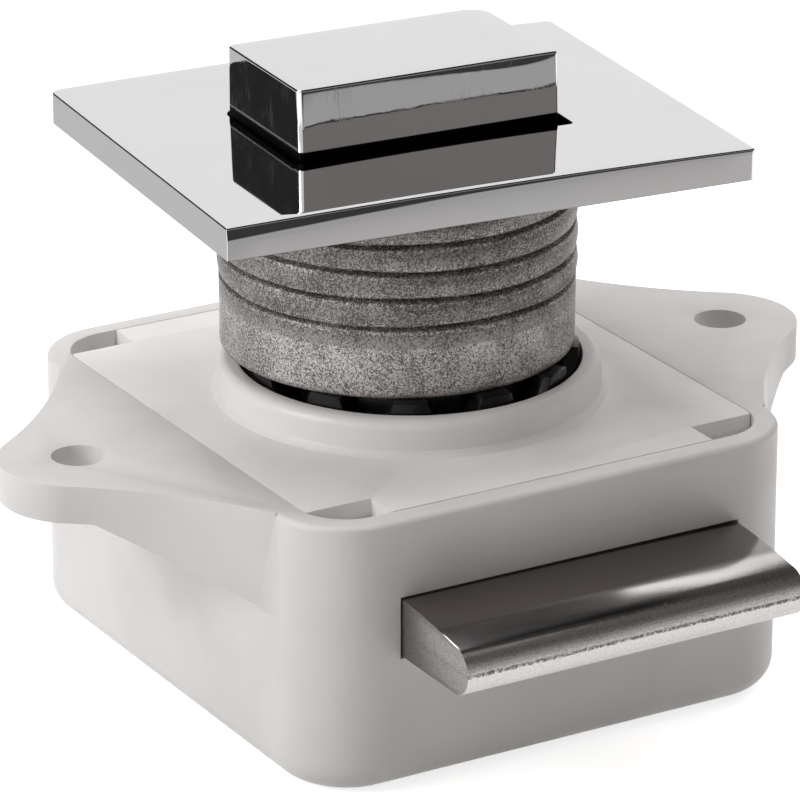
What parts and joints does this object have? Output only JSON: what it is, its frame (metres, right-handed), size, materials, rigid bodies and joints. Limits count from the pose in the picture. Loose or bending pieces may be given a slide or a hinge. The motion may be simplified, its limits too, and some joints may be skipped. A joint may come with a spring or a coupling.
{
  "type": "push button rim latch",
  "caption": "Rim latch in a white moulded case with screw ears, a sprung bolt across its front and a chromed push knob standing in a rosette on a grooved sleeve.",
  "frame": {"origin": "midway between the two ear screws, in the flat face that lies against the back of the door", "axes": "+Z out of the door along the knob, -Y the way the bolt points, X through both ear screws"},
  "size_m": [0.0704, 0.0571, 0.0489],
  "materials": {
    "case": "satin moulded, white",
    "cover": "satin moulded, white",
    "guide_ring": "glossy black moulding",
    "plunger": "glossy black moulding",
    "rosette": "polished plate on a matt cast sleeve",
    "knob": "polished chrome plating",
    "latch_bolt": "nickel plated casting, faintly speckled",
    "spring_wire": "drawn spring wire",
    "clip_wire": "drawn spring wire",
    "follower_wire": "bright bent wire",
    "leaf": "rolled spring strip"
  },
  "bodies": {
    "case": {"case": "case", "cover": "cover", "guide_ring": "guide_ring", "rosette": "rosette", "cam_leaf": "leaf"},
    "knob": {"knob": "knob", "plunger": "plunger", "stem_clip": "clip_wire", "return_spring": "spring_wire"},
    "bolt": {"latch_bolt": "latch_bolt", "bolt_spring_left": "spring_wire", "bolt_spring_right": "spring_wire"},
    "follower": {"cam_wire": "follower_wire"}
  },
  "joints": [
    {"name": "knob_push", "type": "slide", "parent": "case", "child": "knob", "axis": [0, 0, 1], "range_m": [-0.006, 0], "stiffness_N_per_m": 400, "springref_m": 0.004, "deforming": ["return_spring"]},
    {"name": "bolt_slide", "type": "slide", "parent": "case", "child": "bolt", "axis": [0, 1, 0], "range_m": [0, 0.009], "stiffness_N_per_m": 150, "springref_m": -0.008, "deforming": ["bolt_spring_left", "bolt_spring_right"]},
    {"name": "follower_swing", "type": "hinge", "parent": "case", "child": "follower", "pos_m": [0, 0.0082, -0.0184], "axis": [0, 1, 0], "range_deg": [0, 19.6]}
  ]
}
